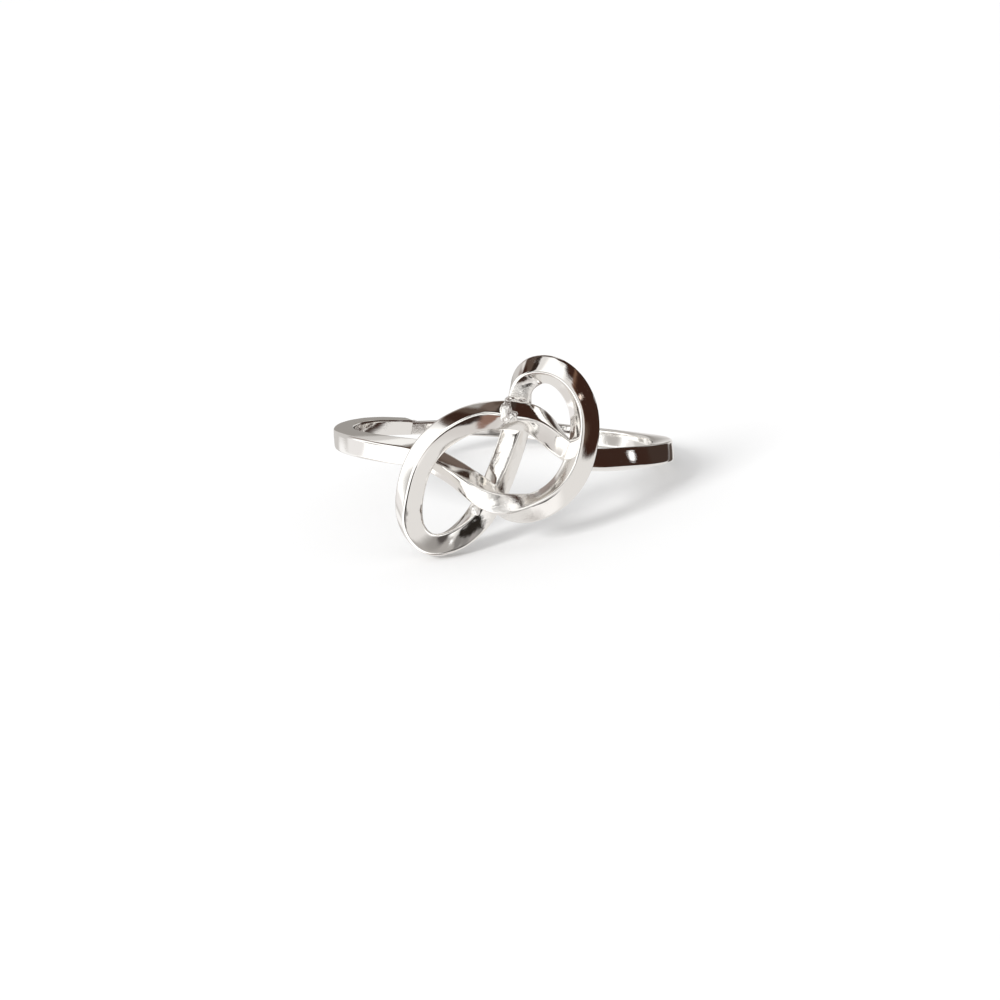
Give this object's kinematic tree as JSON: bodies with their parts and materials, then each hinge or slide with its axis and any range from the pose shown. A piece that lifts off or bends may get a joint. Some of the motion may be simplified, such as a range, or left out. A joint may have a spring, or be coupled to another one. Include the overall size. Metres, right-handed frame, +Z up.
{
  "type": "knot ring",
  "caption": "Finger ring bent from square silver wire: a plain round band that crosses over itself in a flat open knot of two loops at the front.",
  "frame": {"origin": "on the floor, under the middle of the ring's bounding box as it lies on its side", "axes": "+Z up from the floor, -Y towards the knot, +X to the right of someone who looks at the knot"},
  "size_m": [0.0196, 0.0214, 0.0099],
  "materials": {
    "silver": "polished silver with light wear"
  },
  "bodies": {
    "root": {"knot_ring": "silver"}
  },
  "joints": []
}
